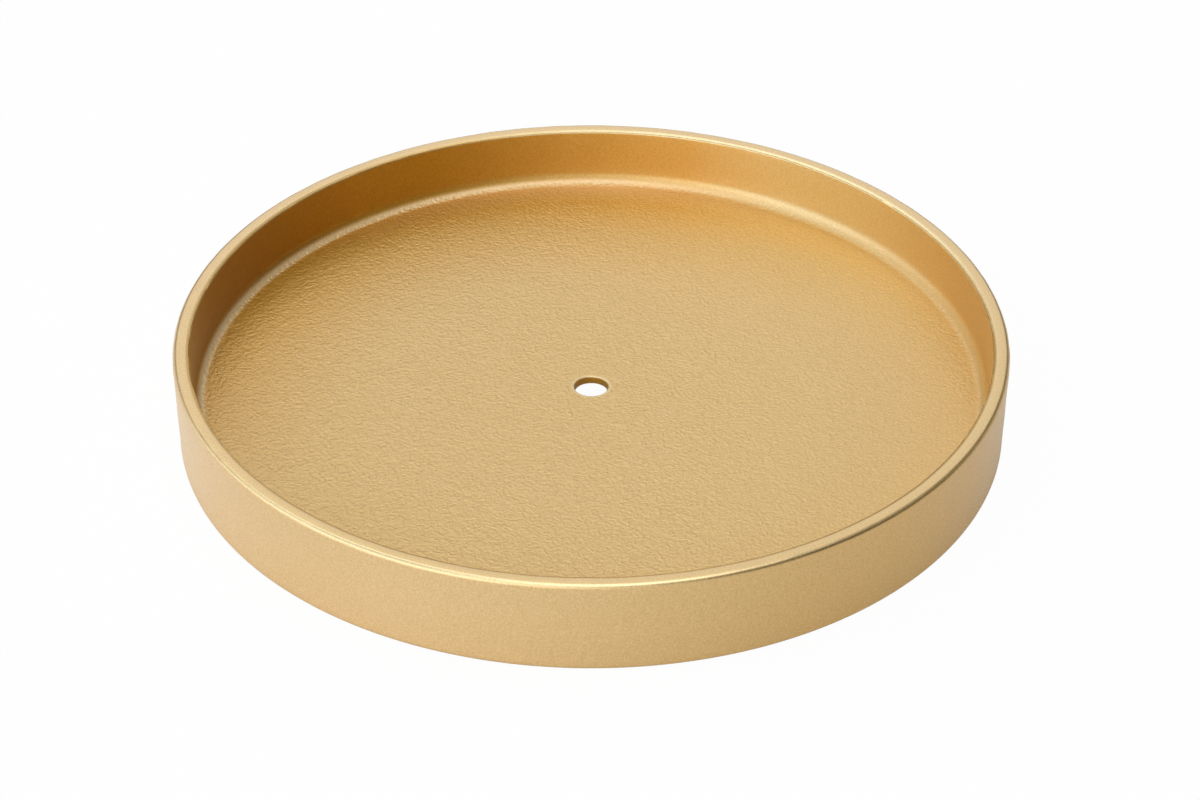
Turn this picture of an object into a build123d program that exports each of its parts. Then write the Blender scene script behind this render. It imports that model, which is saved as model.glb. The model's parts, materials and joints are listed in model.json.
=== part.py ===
"""Candle plate: a shallow round cast dish with a fixing hole through its raised floor, on rubber feet.

Millimetres and degrees, +Z up. The origin is on the plate's axis, in the plane that the feet stand on.
"""
import os
from math import radians, tan

from build123d import *

# Casting: a round wall with a thin floor set part of the way up inside it
rim_diameter = 210.0  # outside, at the top, where the plate is widest
plate_height = 25.0  # from the skirt's lower edge to the rim
rim_width = 4.3  # the wall's thickness at the top
dish_depth = 15.5  # from the rim down to the floor
floor_thickness = 2.0
skirt_edge_width = 3.6  # the wall's thickness at its lower edge

# Draft: each face of the wall leans, so that the casting leaves its mould
outer_draft = 1.75  # the outside narrows downwards
dish_draft = 1.5  # the dish narrows towards the floor
recess_draft = 2.0  # the hollow under the floor widens downwards

# Roundings along the section
rim_outer_rounding = 1.15
rim_inner_rounding = 1.0
dish_corner_rounding = 3.2  # hollow, between the wall and the floor
skirt_outer_rounding = 1.2
skirt_inner_rounding = 0.8
recess_corner_rounding = 2.5  # hollow, between the skirt and the floor's underside

# Fixing hole: clears an M8 screw
hole_diameter = 8.4
hole_edge_rounding = 0.3

# Feet: rubber bumpers glued under the floor, just proud of the skirt
foot_count = 4
foot_diameter = 16.0  # at the glued end
foot_taper = 10.0  # each side narrows downwards
foot_tip_rounding = 1.5
foot_stand_out = 0.5  # below the skirt's lower edge
foot_to_skirt = 9.0  # clear space between a foot and the skirt's lower edge

# Levels above the plane that the feet stand on
skirt_level = foot_stand_out
rim_level = skirt_level + plate_height
floor_level = rim_level - dish_depth
underside_level = floor_level - floor_thickness

# Radii of the section's corners, before they are rounded
rim_radius = rim_diameter / 2
dish_top_radius = rim_radius - rim_width
dish_floor_radius = dish_top_radius - dish_depth * tan(radians(dish_draft))
skirt_radius = rim_radius - plate_height * tan(radians(outer_draft))
recess_edge_radius = skirt_radius - skirt_edge_width
recess_depth = underside_level - skirt_level
recess_top_radius = recess_edge_radius - recess_depth * tan(radians(recess_draft))
hole_radius = hole_diameter / 2
foot_circle_radius = recess_edge_radius - foot_to_skirt - foot_diameter / 2

os.makedirs("parts", exist_ok=True)

# The casting is one section turned about the axis: round the dish, over the rim and under the floor
with BuildPart() as plate:
    with BuildSketch(Plane.XZ):
        with BuildLine():
            FilletPolyline(
                (hole_radius, floor_level),
                (dish_floor_radius, floor_level),
                (dish_top_radius, rim_level),
                (rim_radius, rim_level),
                (skirt_radius, skirt_level),
                (recess_edge_radius, skirt_level),
                (recess_top_radius, underside_level),
                (hole_radius, underside_level),
                radius=(
                    hole_edge_rounding,
                    dish_corner_rounding,
                    rim_inner_rounding,
                    rim_outer_rounding,
                    skirt_outer_rounding,
                    skirt_inner_rounding,
                    recess_corner_rounding,
                    hole_edge_rounding,
                ),
                close=True,
            )
        make_face()
    revolve(axis=Axis.Z)

plate.part.label = "plate"
export_step(plate.part, "parts/plate.step")

# Each foot hangs from the floor's underside and reaches down past the skirt's edge
foot_spots = PolarLocations(foot_circle_radius, foot_count).locations
for number, spot in enumerate(foot_spots, start=1):
    glued_end = Plane(spot).offset(underside_level)
    with BuildPart() as foot:
        with BuildSketch(glued_end):
            Circle(foot_diameter / 2)
        extrude(amount=-underside_level, taper=foot_taper)
        fillet(foot.edges().group_by(Axis.Z)[0], foot_tip_rounding)
    foot.part.label = f"rubber_foot_{number}"
    export_step(foot.part, f"parts/rubber_foot_{number}.step")
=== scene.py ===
import json
import math
from types import SimpleNamespace

import bpy
import numpy as np
from mathutils import Matrix, Vector


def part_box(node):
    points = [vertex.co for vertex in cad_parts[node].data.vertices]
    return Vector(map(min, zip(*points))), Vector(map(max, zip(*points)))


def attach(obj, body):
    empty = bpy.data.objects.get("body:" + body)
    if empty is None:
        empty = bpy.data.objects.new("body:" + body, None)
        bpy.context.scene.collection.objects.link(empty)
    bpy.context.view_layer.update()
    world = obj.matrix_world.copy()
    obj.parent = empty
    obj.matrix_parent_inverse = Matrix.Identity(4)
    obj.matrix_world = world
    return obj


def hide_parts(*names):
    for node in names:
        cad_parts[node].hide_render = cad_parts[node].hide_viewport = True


mm = 0.001

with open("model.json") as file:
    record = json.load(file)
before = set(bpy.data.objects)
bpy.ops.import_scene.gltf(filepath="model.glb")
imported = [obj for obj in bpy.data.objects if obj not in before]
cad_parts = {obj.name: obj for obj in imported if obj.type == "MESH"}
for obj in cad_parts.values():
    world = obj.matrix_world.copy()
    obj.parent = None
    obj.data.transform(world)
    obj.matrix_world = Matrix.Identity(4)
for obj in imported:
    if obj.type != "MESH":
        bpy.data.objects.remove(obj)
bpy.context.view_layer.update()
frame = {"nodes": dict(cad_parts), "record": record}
mounts = {mount["name"]: mount for mount in frame["record"]["mounts"]}
print("frame: loaded", len(frame["nodes"]), "nodes")


def linearColour(hexCode):  # sRGB hex to the linear values that the sockets take
    c = np.array([int(hexCode[i:i + 2], 16) for i in (1, 3, 5)]) / 255
    return (*np.where(c <= 0.04045, c / 12.92, ((c + 0.055) / 1.055) ** 2.4), 1.0)


def addNode(tree, kind, settings=None, values=None, links=None):  # one node, its settings, values and feeds
    node = tree.nodes.new(kind)
    for key, value in (settings or {}).items():
        setattr(node, key, value)
    for key, value in (values or {}).items():
        node.inputs[key].default_value = value
    for key, source in (links or {}).items():
        tree.links.new(source, node.inputs[key])
    return node


def newMaterial(name):
    material = bpy.data.materials.new(name)
    material.use_nodes = True
    material.node_tree.nodes.clear()
    return material, material.node_tree


def ramp(values, start, end):  # 0 up to the start, 1 from the end on, and a straight line between
    return np.clip((values - start) / (end - start), 0, 1)


# Plate: the casting's section carried round the axis

plateBase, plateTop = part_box("plate")
plateShape = {
    "rimRadius": 105 * mm,  # outside, before the rounding
    "rimWidth": 4.3 * mm,
    "skirtEdgeWidth": 3.6 * mm,
    "crownWidth": 0.8 * mm,  # the rim falls away to the dish by this width and drop
    "crownDrop": 0.42 * mm,
    "outerDraft": 1.75,  # degrees
    "dishDraft": 1.5,
    "recessDraft": 2.0,
    "floorThickness": 2.0 * mm,
    "holeTaper": 0.3 * mm,  # in radius, narrower at the underside
    "corners": {  # rounding, steps round it and mesh size of the run after it
        "holeTop": (0.3 * mm, 4, "floorCell"),
        "dishFoot": (3.2 * mm, 10, "wallCell"),
        "crownFoot": (0.4 * mm, 5, "wallCell"),
        "crownTop": (2.7 * mm, 6, "wallCell"),
        "rimOuter": (1.15 * mm, 10, "wallCell"),
        "skirtOuter": (1.2 * mm, 8, "wallCell"),
        "skirtInner": (0.8 * mm, 4, "hiddenCell"),
        "recessTop": (2.5 * mm, 6, "hiddenCell"),
        "holeUnder": (0.3 * mm, 4, "hiddenCell"),
    },
    "floorCell": 0.70 * mm,
    "wallCell": 1.5 * mm,
    "hiddenCell": 4.0 * mm,
    "fewestPoints": 60,  # on a ring
    "worked": 0.018 * mm,  # unevenness of the worked skirt and rim
    "workedWaves": (5 * mm, 18 * mm, 60),  # shortest, longest and how many
    "workedShift": 2.5,  # set down by this, the waves only take metal away
    "workedFrom": 1.5 * mm,  # above the skirt's edge
    "floorWave": 0.009 * mm,  # waviness of the cast floor
    "floorWaves": (2.6 * mm, 8 * mm, 80),
    "seed": 11,
}


def roundedSection(corners, roundings, arcSteps, runCells):
    # Closed outline of straight runs with round corners. Each arc's centre is on the corner's bisector,
    # rounding / sin(half angle) from the corner, and its ends are rounding / tan(half angle) along the runs.
    back = np.roll(corners, 1, 0) - corners
    ahead = np.roll(corners, -1, 0) - corners
    back /= np.linalg.norm(back, axis=1)[:, None]
    ahead /= np.linalg.norm(ahead, axis=1)[:, None]
    half = np.arccos((back * ahead).sum(1)) / 2
    reach = (roundings / np.tan(half))[:, None]
    starts, ends = corners + back * reach, corners + ahead * reach
    bisector = back + ahead
    bisector /= np.linalg.norm(bisector, axis=1)[:, None]
    centres = corners + bisector * (roundings / np.sin(half))[:, None]
    points, cells = [], []
    for i in range(len(corners)):  # one corner and the run after it at a time
        sweep = np.pi - 2 * half[i]
        t = np.linspace(0, 1, arcSteps[i] + 1)[:, None]
        arc = np.sin((1 - t) * sweep) * (starts[i] - centres[i]) + np.sin(t * sweep) * (ends[i] - centres[i])
        run = np.roll(starts, -1, 0)[i] - ends[i]
        n = max(1, round(np.linalg.norm(run) / runCells[i]))
        s = np.linspace(0, 1, n + 1)[1:-1, None]
        points += [centres[i] + arc / np.sin(sweep), ends[i] + s * run]
        cells += [np.full(arcSteps[i] + 1, max(runCells[i - 1], runCells[i])), np.full(n - 1, runCells[i])]
    return np.concatenate(points), np.concatenate(cells)


def ringCounts(radii, cells, least):
    # Points on each ring: the least times a power of two, so that they are about one cell apart, and next
    # rings differ by no more than twice.
    level = np.round(np.log2(np.maximum(2 * np.pi * radii / (least * cells), 1))).astype(int)
    while True:
        eased = np.minimum(level, np.minimum(np.roll(level, 1), np.roll(level, -1)) + 1)
        if (eased == level).all():
            return least * 2 ** level
        level = eased


def ripple(points, shortest, longest, waves, seed):
    # Sum of cosine waves of random direction and phase in space, with lengths from shortest to longest,
    # scaled to a standard deviation of one.
    rng = np.random.default_rng(seed)
    direction = rng.normal(size=(waves, 3))
    direction /= np.linalg.norm(direction, axis=1)[:, None]
    length = shortest * (longest / shortest) ** rng.random(waves)
    phase = rng.random(waves) * 2 * np.pi
    total = np.zeros(len(points))
    for k in range(waves):
        total += np.cos(points @ direction[k] * (2 * np.pi / length[k]) + phase[k])
    return total * math.sqrt(2 / waves)


def stitchRings(firsts, counts):
    # Faces between each ring and the next, round the closed section: quads where the counts agree, and
    # three triangles for every two points where one ring has twice as many.
    quads, triangles = [], []
    for i in range(len(counts)):
        j = (i + 1) % len(counts)
        a, b, m, n = firsts[i], firsts[j], counts[i], counts[j]
        k = np.arange(min(m, n))
        if m == n:
            quads.append(np.stack([a + k, b + k, b + (k + 1) % n, a + (k + 1) % m], 1))
        elif n == 2 * m:
            mid = b + 2 * k + 1
            triangles += [
                np.stack([a + k, b + 2 * k, mid], 1),
                np.stack([a + k, mid, a + (k + 1) % m], 1),
                np.stack([a + (k + 1) % m, mid, b + (2 * k + 2) % n], 1),
            ]
        else:
            mid = a + 2 * k + 1
            triangles += [
                np.stack([a + 2 * k, b + k, mid], 1),
                np.stack([mid, b + k, b + (k + 1) % n], 1),
                np.stack([mid, b + (k + 1) % n, a + (2 * k + 2) % m], 1),
            ]
    return np.concatenate(quads), np.concatenate(triangles)


def meshObject(name, points, quads, triangles):  # whole arrays of points and faces into one smooth mesh
    mesh = bpy.data.meshes.new(name)
    loops = np.concatenate([quads.ravel(), triangles.ravel()])
    totals = np.concatenate([np.full(len(quads), 4), np.full(len(triangles), 3)])
    mesh.vertices.add(len(points))
    mesh.vertices.foreach_set("co", points.astype(np.float32).ravel())
    mesh.loops.add(len(loops))
    mesh.loops.foreach_set("vertex_index", loops.astype(np.int32))
    mesh.polygons.add(len(totals))
    mesh.polygons.foreach_set("loop_start", (np.cumsum(totals) - totals).astype(np.int32))
    mesh.polygons.foreach_set("use_smooth", np.ones(len(totals), bool))
    mesh.update(calc_edges=True)
    mesh.validate()
    piece = bpy.data.objects.new(name, mesh)
    bpy.context.scene.collection.objects.link(piece)
    return piece


def plateSizes(shape):
    # Radii and heights of the section. A drafted wall comes in by its height times the tangent of its draft.
    lean = {wall: math.tan(math.radians(shape[wall + "Draft"])) for wall in ("outer", "dish", "recess")}
    size = SimpleNamespace(rimLevel=plateTop.z, skirtLevel=plateBase.z)
    size.floorLevel = mounts["candle_seat"]["pos_m"][2]
    size.underLevel = size.floorLevel - shape["floorThickness"]
    size.hole = mounts["centre_hole"]["dims"]["r_mm"] * mm
    size.dishTop = shape["rimRadius"] - shape["rimWidth"]
    size.dishFoot = size.dishTop - (size.rimLevel - size.floorLevel) * lean["dish"]
    size.skirt = shape["rimRadius"] - (size.rimLevel - size.skirtLevel) * lean["outer"]
    size.recess = size.skirt - shape["skirtEdgeWidth"]
    size.recessTop = size.recess - (size.underLevel - size.skirtLevel) * lean["recess"]
    return size


def plateSection(shape, size):
    # The casting's closed outline in radius and height, from the hole out over the dish and back underneath.
    taper = shape["holeTaper"] / 2
    corners = np.array([
        (size.hole + taper, size.floorLevel),
        (size.dishFoot, size.floorLevel),
        (size.dishTop, size.rimLevel - shape["crownDrop"]),
        (size.dishTop + shape["crownWidth"], size.rimLevel),
        (shape["rimRadius"], size.rimLevel),
        (size.skirt, size.skirtLevel),
        (size.recess, size.skirtLevel),
        (size.recessTop, size.underLevel),
        (size.hole - taper, size.underLevel),
    ])
    roundings, arcSteps, cellNames = zip(*shape["corners"].values())
    return roundedSection(corners, np.array(roundings), arcSteps, [shape[name] for name in cellNames])


def ringPoints(section, counts):
    # Each point's angle round the axis, its radius and height, and how far its normal points out and up. The
    # normal is to the left of the section's way round.
    firsts = np.cumsum(counts) - counts
    ring = np.repeat(np.arange(len(counts)), counts)
    along = np.roll(section, -1, 0) - np.roll(section, 1, 0)
    along /= np.linalg.norm(along, axis=1)[:, None]
    angle = (np.arange(counts.sum()) - firsts[ring]) * 2 * np.pi / counts[ring]
    radius, height = section[ring].T
    out, up = -along[ring, 1], along[ring, 0]
    return SimpleNamespace(firsts=firsts, angle=angle, radius=radius, height=height, out=out, up=up)


# Where the shade and light are painted, and where the cast skin, the wear and the roughness lie. In a pair,
# a share begins at the first value and is full at the second. A name that ends in Up or Out is of the
# normal's upward or outward part.
shadeHighlightAndFinish = {
    "skinUp": (0.75, 0.95),  # only faces as level as this kept the cast skin
    "skinFromHole": (0.3 * mm, 1.1 * mm),
    "skinCalm": 0.45,  # the skin is flatter by this towards +X
    "skinCalmSide": (0.25, 0.85),  # in shares of the dish's radius
    "shadingAxis": -15,  # degrees from +X, the shading axis: the outer wall is painted darker towards it
    "palestCosine": 0.34,  # cosine from there at which the dish's wall is painted palest
    "palestReach": (0, 1.3),  # away from that, the wall has more painted shade
    "wallShadePaint": (0.03, 0.77),
    "wallCurve": 0.85,
    "wallDarkShade": (0.8, 1.0),  # painted darker shade on the far side, by the cosine
    "wallFront": (-0.45, -0.05),  # the dish's front wall is painted pale, by the angle's sine
    "wallPale": 0.9,  # and so is the wall where it is painted palest
    "wallPaleReach": (0.5, 0.1),
    "wallPaleFar": 1.9,  # the pale part ends this much sooner on the far side
    "wallPaleUp": 1.3,  # it fades into the dish's corner
    "wallPaleLeast": 0.5,
    "holeWall": 0.2 * mm,  # the hole's wall has painted shade and its edge a painted glint, this far from its radius
    "holeEdge": 0.5 * mm,
    "holeGlintUp": (0.3, 0.6),
    "deepOut": (0.3, 0.7),  # painted shade only on faces as upright as this
    "outerShadedReach": (-0.204, 0.996),  # the outer wall is painted darker towards that side, by the cosine
    "outerOut": 0.5,
    "outerBand": 1.0 * mm,
    # painted shade on the outer wall's darker side and painted light on its other side
    "outerShadePaint": 0.5,
    "outerPaintedLight": 0.8,
    "skirtShade": 1.3 * mm,  # and painted shade along the skirt's lower edge
    "skirtShadeBand": 2.0 * mm,
    "floorShadeWidth": 52 * mm,  # painted shade on the floor towards the wall, over this width
    "floorShade": 1.05,
    "floorShadeCurve": 1.5,
    "floorShadeSide": 119,  # degrees from +X, where most of it lies
    "floorShadeLeast": 0.2,
    "floorShadeUp": 0.9,
    "edgeWidth": 1.0 * mm,  # a painted dark line along the rim's inner edge
    "edgeDrop": 1.2 * mm,
    "edgeOut": 0.15,
    "edgeUp": 0.05,
    "edgeFar": (0.1, 0.6),  # on the far side, by the cosine, and in front, by the sine
    "edgeFront": (0.6, 0.1),
    "edgeShadePaint": (0.35, 0.6),  # behind and in front
    "outerEdgeDrop": 1.5 * mm,  # and a painted dark line along the outer edge
    "outerEdgeOut": 0.1,
    "outerEdgeUp": (0.1, 0.3),
    "outerEdgeShadePaint": 0.4,
    "rimTop": (-1.8 * mm, -0.8 * mm),  # from the rim's level, where it is worn and has a painted highlight
    "rimInnerUp": (0.72, 0.86),
    "rimOuterUp": (0.3, 0.7),
    "rimOuterKept": 0.45,  # less far down on the outer wall's darker side
    "rimFlat": 0.2,  # the level part of the rim, painted lighter behind than in front
    "rimFlatMiddle": 0.75,
    "rimFlatSwing": 0.5,
    "rimFlatLeast": 0.35,
    "edgeHighlightDrop": 0.9 * mm,  # painted highlight on the rim's edges
    "edgeHighlightUp": (0.35, 0.65),
    "edgeHighlightFront": (0.39, 0.69),  # the outer edge in front, by the angle's sine
    "edgeHighlightSide": 60,  # and the inner edge round this, in degrees from +X
    "edgeHighlightSideReach": (0.24, 0.64),
    "filletFade": 11 * mm,  # painted highlight on the dish's corner, and on the floor beside it over this width
    "filletHighlightAmount": 0.8,
    "filletFloorSide": (-0.9, -0.2),
    "filletCurved": (0.995, 0.945),
    "filletUp": (0.55, 0.85),
    "filletMiddle": 1.2,  # more of it on the far side
    "filletSwing": 0.43,
    "filletRange": (0.1, 1.7),  # least and most, and past 1 the pale highlight colour comes in
    "outerRoughness": 0.5,
    "wallRoughness": 0.42,
    "floorRoughness": 0.58,
    "floorUp": (0.1, 0.6),
    "rimRoughness": 0.32,
    "rimUp": (0.3, 0.7),
}


def plateSpots(at, size, shape, lay):
    # Which points lie where on the plate, and where shade and light are painted: side is the cosine from the
    # shading axis, one value how far the dish's wall is from its palest part, and the others shares from 0 to
    # 1.
    side, sine = np.cos(at.angle - math.radians(lay["shadingAxis"])), np.sin(at.angle)
    onEdge = (np.abs(at.radius - size.dishTop) < lay["edgeWidth"]) & (at.out < -lay["edgeOut"])
    onEdge &= (at.height > size.rimLevel - lay["edgeDrop"]) & (at.up > lay["edgeUp"])
    inner = (at.height > size.floorLevel) & (at.radius < size.dishTop) & (at.out < 0)
    overFloor = at.height - size.floorLevel
    onSkirt = at.radius > size.skirt - lay["skirtShadeBand"]
    return SimpleNamespace(
        side=side,
        sine=sine,
        fromPalest=ramp(np.abs(side - lay["palestCosine"]), *lay["palestReach"]),
        outerShaded=ramp(side, *lay["outerShadedReach"]),
        behind=ramp(sine, *lay["wallFront"]),
        upright=ramp(np.abs(at.out), *lay["deepOut"]),
        inDish=(overFloor < shape["corners"]["dishFoot"][0]) & (overFloor > -shape["floorThickness"] / 2),
        inner=inner | (at.radius < size.hole + lay["holeWall"]),
        outside=(at.out > lay["outerOut"]) & (at.radius > size.skirt - lay["outerBand"]),
        edge=onEdge * np.maximum(ramp(-side, *lay["edgeFar"]), ramp(sine, *lay["edgeFront"])),
        skirtShade=onSkirt * ramp(at.height - size.skirtLevel, lay["skirtShade"], 0),
        onTop=ramp(at.height - size.rimLevel, *lay["rimTop"]),
        nearHole=at.radius < size.hole + lay["holeEdge"],
    )


def castSkin(at, size, spots, lay):
    # Full on the level floor, none near the hole, and flatter towards +X.
    skin = ramp(at.up, *lay["skinUp"]) * (spots.inDish & (at.radius < size.dishFoot))
    skin *= ramp(at.radius - size.hole, *lay["skinFromHole"])
    across = at.radius * np.cos(at.angle) / size.dishFoot
    return skin * (1 - lay["skinCalm"] * ramp(across, *lay["skinCalmSide"]))


def deepLacquer(at, size, spots, lay):
    # Painted shade: the dish's wall has more the further it is from its palest part, and darker shade on its
    # far side, and the outer wall more towards the shading axis. The rim's edges, the skirt's lower edge, the
    # floor beside the wall and the hole's wall have painted shade of their own.
    wall = ramp(spots.fromPalest, *lay["wallShadePaint"]) ** lay["wallCurve"] + ramp(-spots.side, *lay["wallDarkShade"])
    outer = spots.outside * lay["outerShadePaint"] * spots.outerShaded
    deep = np.where(spots.inner, wall * spots.behind, outer) * spots.upright
    deep = np.maximum(deep, spots.edge * np.where(spots.sine > 0, *lay["edgeShadePaint"]))
    outerEdge = (at.height > size.rimLevel - lay["outerEdgeDrop"]) & (at.out > lay["outerEdgeOut"])
    deep = np.maximum(deep, outerEdge * ramp(at.up, *lay["outerEdgeUp"]) * spots.outerShaded * lay["outerEdgeShadePaint"])
    deep = np.maximum(deep, spots.skirtShade)
    nearWall = ramp(at.radius - size.dishFoot, -lay["floorShadeWidth"], 0) ** lay["floorShadeCurve"]
    least = lay["floorShadeLeast"]
    floorShadeSpread = np.clip(np.cos(at.angle - math.radians(lay["floorShadeSide"])) + least, least, 1)
    level = spots.inDish & (at.up > lay["floorShadeUp"])
    deep = np.maximum(deep, level * lay["floorShade"] * nearWall * floorShadeSpread)
    return np.where(spots.nearHole, spots.upright, deep)


def filletHighlightShare(at, size, spots, lay):
    # Painted highlight on the dish's corner and the floor beside it, more on the far side from the shading
    # axis.
    fromWall = at.radius - size.dishFoot
    beside = ramp(fromWall, -lay["filletFade"], 0) * ramp(spots.side, *lay["filletFloorSide"])
    curved = ramp(at.up, *lay["filletCurved"]) * (fromWall > -lay["filletFade"])
    amount = np.clip(lay["filletMiddle"] - spots.side / lay["filletSwing"], *lay["filletRange"])
    amount *= lay["filletHighlightAmount"] * spots.inDish * ramp(at.up, *lay["filletUp"])
    return np.maximum(beside, curved) * amount


def rubbedLacquer(at, spots, filletHighlight, lay):
    # Wear and painted highlight on the rim's top down to where its roundings turn steep, lighter behind than
    # in front, painted light on the outer wall's lighter side, painted highlight on the fillet and a painted
    # glint on the hole's edge.
    outerUp = at.up - lay["rimOuterKept"] * spots.outerShaded
    innerRim, outerRim = ramp(at.up, *lay["rimInnerUp"]), ramp(outerUp, *lay["rimOuterUp"])
    rim = spots.onTop * np.where(at.out < 0, innerRim, outerRim)
    flat = np.clip(lay["rimFlatMiddle"] + lay["rimFlatSwing"] * spots.sine, lay["rimFlatLeast"], 1)
    rim *= (1 - spots.edge) * np.where(np.abs(at.out) < lay["rimFlat"], flat, 1)
    outer = spots.outside * lay["outerPaintedLight"] * (1 - spots.outerShaded) * (1 - spots.skirtShade)
    rubbed = np.maximum(np.maximum(rim, outer), filletHighlight)
    return np.where(spots.nearHole, ramp(at.up, *lay["holeGlintUp"]), rubbed)


def thinLacquer(at, size, spots, filletHighlight, lay):
    # Painted highlight on the rim's edges and the fillet's brightest part, painted light on the dish's wall
    # in front and where it is painted palest, and a painted glint on the hole's edge.
    front = ramp(-spots.sine, *lay["edgeHighlightFront"]) * (1 - spots.outerShaded) * (at.out > lay["edgeOut"])
    back = ramp(np.cos(at.angle - math.radians(lay["edgeHighlightSide"])), *lay["edgeHighlightSideReach"])
    back *= (1 - spots.edge) * (at.out < -lay["edgeOut"])
    onRim = (at.height > size.rimLevel - lay["edgeHighlightDrop"]) & (at.radius > size.dishTop - lay["edgeWidth"])
    edgeHighlight = onRim * (front + back) * ramp(at.up, *lay["edgeHighlightUp"])
    beyond = spots.fromPalest * np.where(spots.side < lay["palestCosine"], lay["wallPaleFar"], 1)
    wall = lay["wallPale"] * ramp(beyond, *lay["wallPaleReach"])
    wall *= np.clip(lay["wallPaleUp"] - at.up, lay["wallPaleLeast"], 1)
    thin = np.maximum(edgeHighlight, spots.inner * np.maximum(wall, 1 - spots.behind))
    thin = np.maximum(thin, filletHighlight - 1)
    return np.where(spots.nearHole, ramp(at.up, *lay["holeGlintUp"]), thin)


def lacquerRoughness(at, spots, lay):
    # Each wall's own roughness, going over to the floor's and the rim's by their shares.
    rough = np.where(spots.inner, lay["wallRoughness"], lay["outerRoughness"])
    rough += (lay["floorRoughness"] - rough) * spots.inDish * ramp(at.up, *lay["floorUp"])
    return rough + (lay["rimRoughness"] - rough) * spots.onTop * ramp(at.up, *lay["rimUp"])


def buildPlate(shape, lay):
    # Each point of the section becomes a ring round the axis, and the rings are stitched together.
    size = plateSizes(shape)
    section, cells = plateSection(shape, size)
    counts = ringCounts(section[:, 0], cells, shape["fewestPoints"])
    at = ringPoints(section, counts)
    points = np.stack([at.radius * np.cos(at.angle), at.radius * np.sin(at.angle), at.height], 1)
    normals = np.stack([at.out * np.cos(at.angle), at.out * np.sin(at.angle), at.up], 1)
    spots = plateSpots(at, size, shape, lay)
    skin = castSkin(at, size, spots, lay)
    filletHighlight = filletHighlightShare(at, size, spots, lay)
    # Hand finishing leaves the skirt and rim a little uneven, always inwards, and the cast floor is wavy.
    atSkirtEdge = at.height < size.skirtLevel + shape["workedFrom"]
    unworked = spots.inDish | (at.radius < size.dishFoot) | atSkirtEdge
    waves = ripple(points, *shape["workedWaves"], shape["seed"])
    uneven = np.minimum(waves - shape["workedShift"], 0) * np.where(unworked, 0, shape["worked"])
    uneven += ripple(points, *shape["floorWaves"], shape["seed"] + 1) * skin * shape["floorWave"]
    quads, triangles = stitchRings(at.firsts, counts)
    piece = meshObject("plate_casting", points + normals * uneven[:, None], quads, triangles)
    # the painted shade, wear and highlight shares go on the plate as attributes for its material
    shares = {
        "castSkin": skin,
        "deepLacquer": deepLacquer(at, size, spots, lay),
        "rubbedLacquer": rubbedLacquer(at, spots, filletHighlight, lay),
        "thinLacquer": thinLacquer(at, size, spots, filletHighlight, lay),
        "lacquerRoughness": lacquerRoughness(at, spots, lay),
    }
    for name, values in shares.items():
        piece.data.attributes.new(name, "FLOAT", "POINT").data.foreach_set("value", values.astype(np.float32))
    print("plate:", len(section), "rings,", 2 * len(quads) + len(triangles), "triangles")
    return piece


goldLook = {
    "metalLight": "#EECE94",  # lacquer on the high spots and between them
    "metalShade": "#DAB972",
    "deepLight": "#E2AE47",  # painted shade on the dish's wall, in the hole, along edges and on the floor by the wall
    "deepShade": "#CC9B2D",
    "deepestLight": "#BE8926",  # and painted darker shade on the dish's far wall
    "deepestShade": "#AB7A16",
    "rubbedLight": "#F9DDAA",  # wear and painted highlight on the rim, painted highlight on the fillet
    "rubbedShade": "#EAC589",
    "thinLight": "#EDDDB0",  # painted highlight on the rim's edges and the fillet, painted light on the dish's wall
    "thinShade": "#E1C990",
    "coat": 0.7,
    "coatIor": 1.6,
    "coatRoughness": 0.25,
    "grainSize": 0.87 * mm,  # one bump of the cast skin
    "grainHeight": 0.1 * mm,
    "grainDetail": 1.0,
    "grainFineness": 0.45,
    "grainTone": 0.25,  # how far the bumps and the flakes move the tone from its middle
    "flakeSize": 0.48 * mm,  # metal flakes in the lacquer, drawn coarser than real so that they show
    "flakeDetail": 1.0,
    "flakeTone": 0.6,
    "flakeOnSkin": 0.3,
    "middleTone": 0.5,
    "sandHeight": 0.012 * mm,
}


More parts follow.
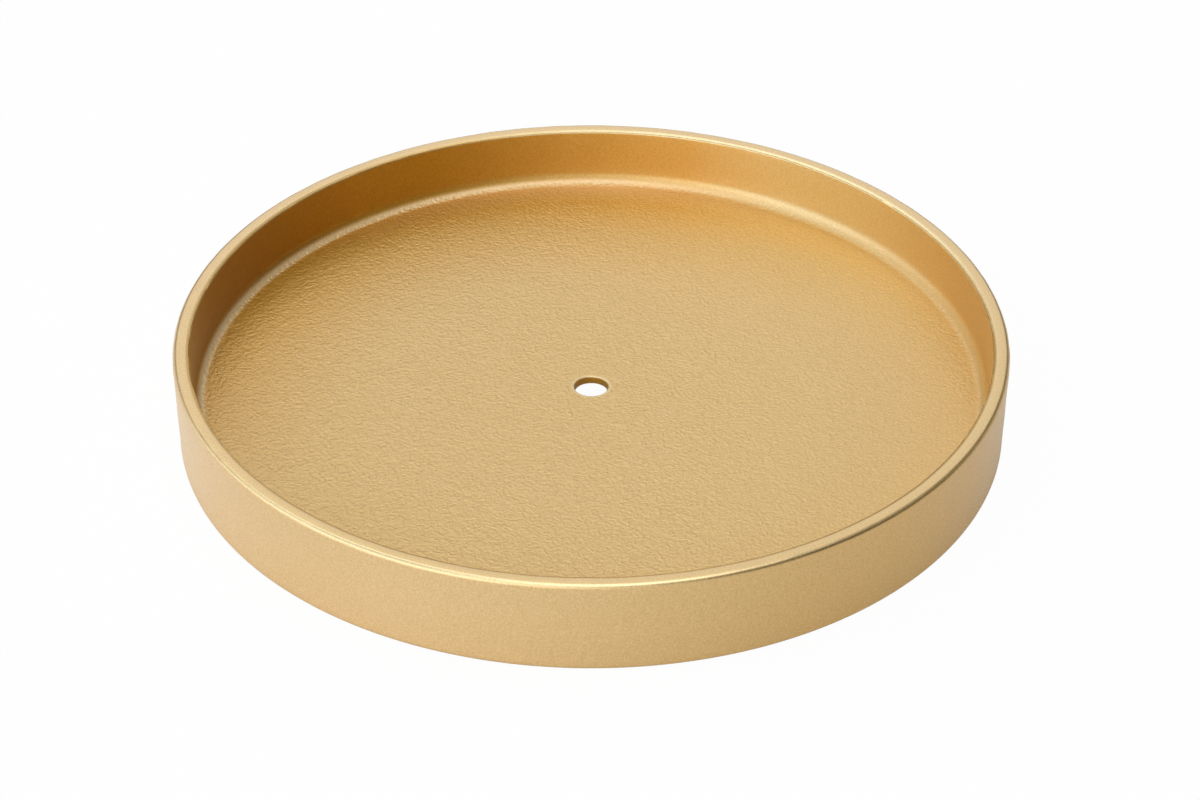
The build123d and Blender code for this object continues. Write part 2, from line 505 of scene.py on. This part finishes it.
def goldLacquerOnCasting(look):
    # Satin gold lacquer over cast aluminium: a warm metal sheen, blurred reflections, an orange-peel skin on
    # the dish's floor, which is left as cast, and a fine flake with a sandy tooth all over.
    material, tree = newMaterial("goldLacquerOnCasting")
    place = addNode(tree, "ShaderNodeTexCoord").outputs["Object"]
    shares = {}
    for name in ("castSkin", "deepLacquer", "rubbedLacquer", "thinLacquer", "lacquerRoughness"):
        shares[name] = addNode(tree, "ShaderNodeAttribute", {"attribute_name": name}).outputs["Fac"]
    darkShadeShare = addNode(tree, "ShaderNodeMath", {"operation": "SUBTRACT"}, {1: 1.0},
                  {0: shares["deepLacquer"]}).outputs[0]
    grain = addNode(tree, "ShaderNodeTexNoise", {"normalize": False}, {
        "Scale": 1 / look["grainSize"],
        "Detail": look["grainDetail"],
        "Roughness": look["grainFineness"],
    }, {"Vector": place}).outputs["Fac"]
    skinned = addNode(tree, "ShaderNodeMath", {"operation": "MULTIPLY"},
                      links={0: grain, 1: shares["castSkin"]}).outputs[0]
    flake = addNode(tree, "ShaderNodeTexNoise", {"normalize": False}, {
        "Scale": 1 / look["flakeSize"],
        "Detail": look["flakeDetail"],
    }, {"Vector": place}).outputs["Fac"]
    flakeShare = addNode(tree, "ShaderNodeMapRange", values={
        "To Min": look["flakeTone"],
        "To Max": look["flakeOnSkin"],
    }, links={"Value": shares["castSkin"]}).outputs[0]
    flakeTone = addNode(tree, "ShaderNodeMath", {"operation": "MULTIPLY_ADD"}, {2: look["middleTone"]},
                        {0: flake, 1: flakeShare}).outputs[0]
    tone = addNode(tree, "ShaderNodeMath", {"operation": "MULTIPLY_ADD"}, {1: look["grainTone"]},
                   {0: skinned, 2: flakeTone}).outputs[0]
    # Each painted shade, wear and highlight colour is laid over the one before by its share. A Mix node's
    # colours are sockets 6 and 7.
    paintedTints = {
        "deep": shares["deepLacquer"],
        "deepest": darkShadeShare,
        "rubbed": shares["rubbedLacquer"],
        "thin": shares["thinLacquer"],
    }
    tints = []
    for kind in ("Shade", "Light"):
        under = {}
        for coat, share in paintedTints.items():
            colours = {6: linearColour(look["metal" + kind]), 7: linearColour(look[coat + kind])}
            mixed = addNode(tree, "ShaderNodeMix", {"data_type": "RGBA"}, colours, {0: share, **under})
            under = {6: mixed.outputs[2]}
        tints.append(under[6])
    colour = addNode(tree, "ShaderNodeMix", {"data_type": "RGBA"},
                     links={0: tone, 6: tints[0], 7: tints[1]}).outputs[2]
    tooth = addNode(tree, "ShaderNodeBump", values={"Distance": look["sandHeight"], "Strength": 1.0},
                    links={"Height": flake}).outputs["Normal"]
    bump = addNode(tree, "ShaderNodeBump", values={"Distance": look["grainHeight"], "Strength": 1.0},
                   links={"Height": skinned, "Normal": tooth}).outputs["Normal"]
    shader = addNode(tree, "ShaderNodeBsdfPrincipled", values={
        "Metallic": 1.0,
        "Coat Weight": look["coat"],
        "Coat Roughness": look["coatRoughness"],
        "Coat IOR": look["coatIor"],
    }, links={
        "Base Color": colour,
        "Roughness": shares["lacquerRoughness"],
        "Normal": bump,
        "Coat Normal": bump,
    })
    addNode(tree, "ShaderNodeOutputMaterial", links={"Surface": shader.outputs[0]})
    return material


plate = buildPlate(plateShape, shadeHighlightAndFinish)
plate.data.materials.append(goldLacquerOnCasting(goldLook))
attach(plate, "root")
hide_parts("plate")


# Feet: moulded rubber, as the CAD has them

footLook = {
    "rubber": "#1B1B1C",
    "dust": "#2A2A2A",
    "roughness": 0.62,
    "grainSize": 0.5 * mm,
    "grainDetail": 3.0,
    "grainHeight": 0.03 * mm,
}


def mouldedRubber(look):
    # Black moulded rubber: dull, with a fine matt grain and a little dust.
    material, tree = newMaterial("mouldedRubber")
    place = addNode(tree, "ShaderNodeTexCoord").outputs["Object"]
    grain = addNode(tree, "ShaderNodeTexNoise", values={
        "Scale": 1 / look["grainSize"],
        "Detail": look["grainDetail"],
    }, links={"Vector": place}).outputs["Fac"]
    colour = addNode(tree, "ShaderNodeMix", {"data_type": "RGBA"}, {
        6: linearColour(look["rubber"]),
        7: linearColour(look["dust"]),
    }, {0: grain}).outputs[2]
    bump = addNode(tree, "ShaderNodeBump", values={"Distance": look["grainHeight"]}, links={"Height": grain})
    shader = addNode(tree, "ShaderNodeBsdfPrincipled", values={"Roughness": look["roughness"]},
                     links={"Base Color": colour, "Normal": bump.outputs[0]})
    addNode(tree, "ShaderNodeOutputMaterial", links={"Surface": shader.outputs[0]})
    return material


rubber = mouldedRubber(footLook)
feet = [node for name, node in frame["nodes"].items() if name.startswith("rubber_foot")]
for foot in feet:
    foot.data.materials.clear()
    foot.data.materials.append(rubber)
print("feet:", len(feet), "in rubber")


# Stage: a pale floor, soft light and the camera

stageLook = {
    "floorHalf": 4.0,  # metres
    "floor": "#E4E4E4",
    "white": 1.0,
    "whiteToCamera": 0.97,  # the rest is paper, which keeps the shadow
    "whiteToGloss": 0.2,
}


def paleFloor(look):
    # Matt pale paper. The camera and the reflections in the plate see a share of it as plain white.
    material, tree = newMaterial("palePaper")
    paths = addNode(tree, "ShaderNodeLightPath").outputs
    clear = addNode(tree, "ShaderNodeMath", {"operation": "MAXIMUM"},
                    links={0: paths["Is Camera Ray"], 1: paths["Is Transmission Ray"]}).outputs[0]
    share = addNode(tree, "ShaderNodeMath", {"operation": "MULTIPLY"}, values={1: look["whiteToCamera"]},
                    links={0: clear}).outputs[0]
    share = addNode(tree, "ShaderNodeMath", {"operation": "MULTIPLY_ADD"}, values={1: look["whiteToGloss"]},
                    links={0: paths["Is Glossy Ray"], 2: share}).outputs[0]
    paper = addNode(tree, "ShaderNodeBsdfDiffuse", values={"Color": linearColour(look["floor"])}).outputs[0]
    white = addNode(tree, "ShaderNodeEmission", values={"Strength": look["white"]}).outputs[0]
    mixed = addNode(tree, "ShaderNodeMixShader", links={0: share, 1: paper, 2: white}).outputs[0]
    addNode(tree, "ShaderNodeOutputMaterial", links={"Surface": mixed})
    return material


def floorSheet(look):
    # One square face, on the level of the feet.
    half = look["floorHalf"]
    corners = np.array([(-half, -half, 0), (half, -half, 0), (half, half, 0), (-half, half, 0)])
    floor = meshObject("floor", corners, np.array([[0, 1, 2, 3]]), np.empty((0, 3), int))
    floor.data.materials.append(paleFloor(look))


floorSheet(stageLook)

studioLight = {
    "walls": 0.05,  # what the studio gives back from every side
    # Each soft panel's place in degrees from +X and up, and how far from its middle it is full and fades out.
    "panels": {
        "overhead": {"azimuth": 270, "elevation": 88, "full": 5, "fade": 22, "strength": 0.98},
        "overFront": {"azimuth": 285, "elevation": 70, "full": 6, "fade": 34, "strength": 1.54},
        "overRight": {"azimuth": 20, "elevation": 66, "full": 4, "fade": 24, "strength": 0.15},
        "left": {"azimuth": 205, "elevation": 10, "full": 15, "fade": 65, "strength": 1.22},
        "leftHigh": {"azimuth": 185, "elevation": 42, "full": 6, "fade": 34, "strength": 0.4},
        "frontLow": {"azimuth": 255, "elevation": 8, "full": 10, "fade": 48, "strength": 1.19},
        "key": {"azimuth": 116, "elevation": 53, "full": 4, "fade": 20, "strength": 1.32},
        "keyRight": {"azimuth": 60, "elevation": 52, "full": 4, "fade": 18, "strength": 0.28},
        "back": {"azimuth": 86, "elevation": 30, "full": 5, "fade": 30, "strength": 0.815},
        "backLeft": {"azimuth": 145, "elevation": 46, "full": 4, "fade": 24, "strength": 0.38},
        "backTop": {"azimuth": 88, "elevation": 70, "full": 4, "fade": 22, "strength": 1.08},
        "right": {"azimuth": 14, "elevation": 42, "full": 4, "fade": 28, "strength": 0.24},
        "lowLeft": {"azimuth": 140, "elevation": 5, "full": 8, "fade": 32, "strength": 0.65},
        "lowRight": {"azimuth": 36, "elevation": 5, "full": 8, "fade": 30, "strength": 0.35},
    },
}


def softPanels(light):
    # The world is the studio's walls and its soft panels. A panel's light falls off smoothly with the angle
    # from its middle, from full strength to nothing.
    world = bpy.data.worlds.new("studio")
    world.use_nodes = True
    tree = world.node_tree
    tree.nodes.clear()
    direction = addNode(tree, "ShaderNodeTexCoord").outputs["Generated"]
    total = None
    for panel in light["panels"].values():
        a, e = math.radians(panel["azimuth"]), math.radians(panel["elevation"])
        middle = (math.cos(e) * math.cos(a), math.cos(e) * math.sin(a), math.sin(e))
        facing = addNode(tree, "ShaderNodeVectorMath", {"operation": "DOT_PRODUCT"}, values={1: middle},
                         links={0: direction}).outputs["Value"]
        glow = addNode(tree, "ShaderNodeMapRange", {"interpolation_type": "SMOOTHSTEP"}, values={
            "From Min": math.cos(math.radians(panel["fade"])),
            "From Max": math.cos(math.radians(panel["full"])),
            "To Max": panel["strength"],
        }, links={"Value": facing}).outputs[0]
        total = addNode(tree, "ShaderNodeMath", {"operation": "ADD"}, values={1: light["walls"]},
                        links={0: glow} if total is None else {0: glow, 1: total}).outputs[0]
    sky = addNode(tree, "ShaderNodeBackground", values={"Color": (1, 1, 1, 1)},
                  links={"Strength": total}).outputs[0]
    addNode(tree, "ShaderNodeOutputWorld", links={"Surface": sky})
    bpy.context.scene.world = world


softPanels(studioLight)

cameraRig = {
    "lens": 120.0,  # mm
    "sensor": 36.0,
    "distance": 1.0195,  # metres from the axis at the skirt's lower edge
    "elevation": 34.54,  # degrees, and the turns below too
    "pan": -0.125,
    "tilt": 0.244,
    "roll": -0.047,
}


def placeCamera(rig):
    # Looks down at the elevation from the -Y side, then turns a little to frame the plate as the photo does.
    data = bpy.data.cameras.new("camera")
    data.lens, data.sensor_width, data.sensor_fit = rig["lens"], rig["sensor"], "HORIZONTAL"
    camera = bpy.data.objects.new("camera", data)
    e = math.radians(rig["elevation"])
    back = Vector((0, -math.cos(e), math.sin(e)))
    facing = back.to_track_quat("Z", "Y").to_matrix()
    for axis, angle in (("Y", rig["pan"]), ("X", rig["tilt"]), ("Z", -rig["roll"])):
        facing = facing @ Matrix.Rotation(math.radians(angle), 3, axis)
    stand = Vector((0, 0, plateBase.z)) + back * rig["distance"]
    camera.matrix_world = Matrix.Translation(stand) @ facing.to_4x4()
    bpy.context.scene.collection.objects.link(camera)
    bpy.context.scene.camera = camera


placeCamera(cameraRig)
bpy.context.scene.view_settings.view_transform = "Standard"
print("stage: floor, soft panels and camera placed")
